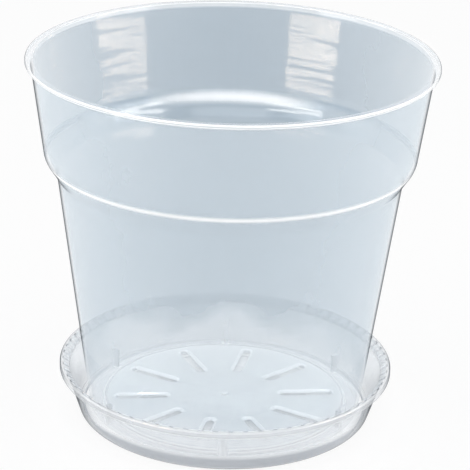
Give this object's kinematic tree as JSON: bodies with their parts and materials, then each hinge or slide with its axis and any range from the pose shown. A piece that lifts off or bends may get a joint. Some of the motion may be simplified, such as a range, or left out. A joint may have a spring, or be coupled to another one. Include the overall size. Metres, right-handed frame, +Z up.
{
  "type": "orchid pot",
  "caption": "Clear tapered orchid pot with a flat lip, a stepped collar and a slotted raised floor, standing in a shallow saucer with a notched rim.",
  "frame": {"origin": "on the surface that the saucer stands on, under the middle of the saucer", "axes": "+Z up along the axis that the pot and the saucer share, -Y towards the front"},
  "size_m": [0.15, 0.15, 0.1384],
  "materials": {
    "pot_plastic": "unpigmented polypropylene, clear with a milky blue-grey haze, semi-gloss",
    "saucer_plastic": "unpigmented polypropylene, clear with a milky haze, semi-gloss"
  },
  "bodies": {
    "saucer": {"saucer": "saucer_plastic"},
    "pot": {"pot": "pot_plastic"}
  },
  "joints": [
    {"name": "pot_lift", "type": "slide", "parent": "saucer", "child": "pot", "axis": [0, 0, 1], "range_m": [0, 0.06]}
  ]
}
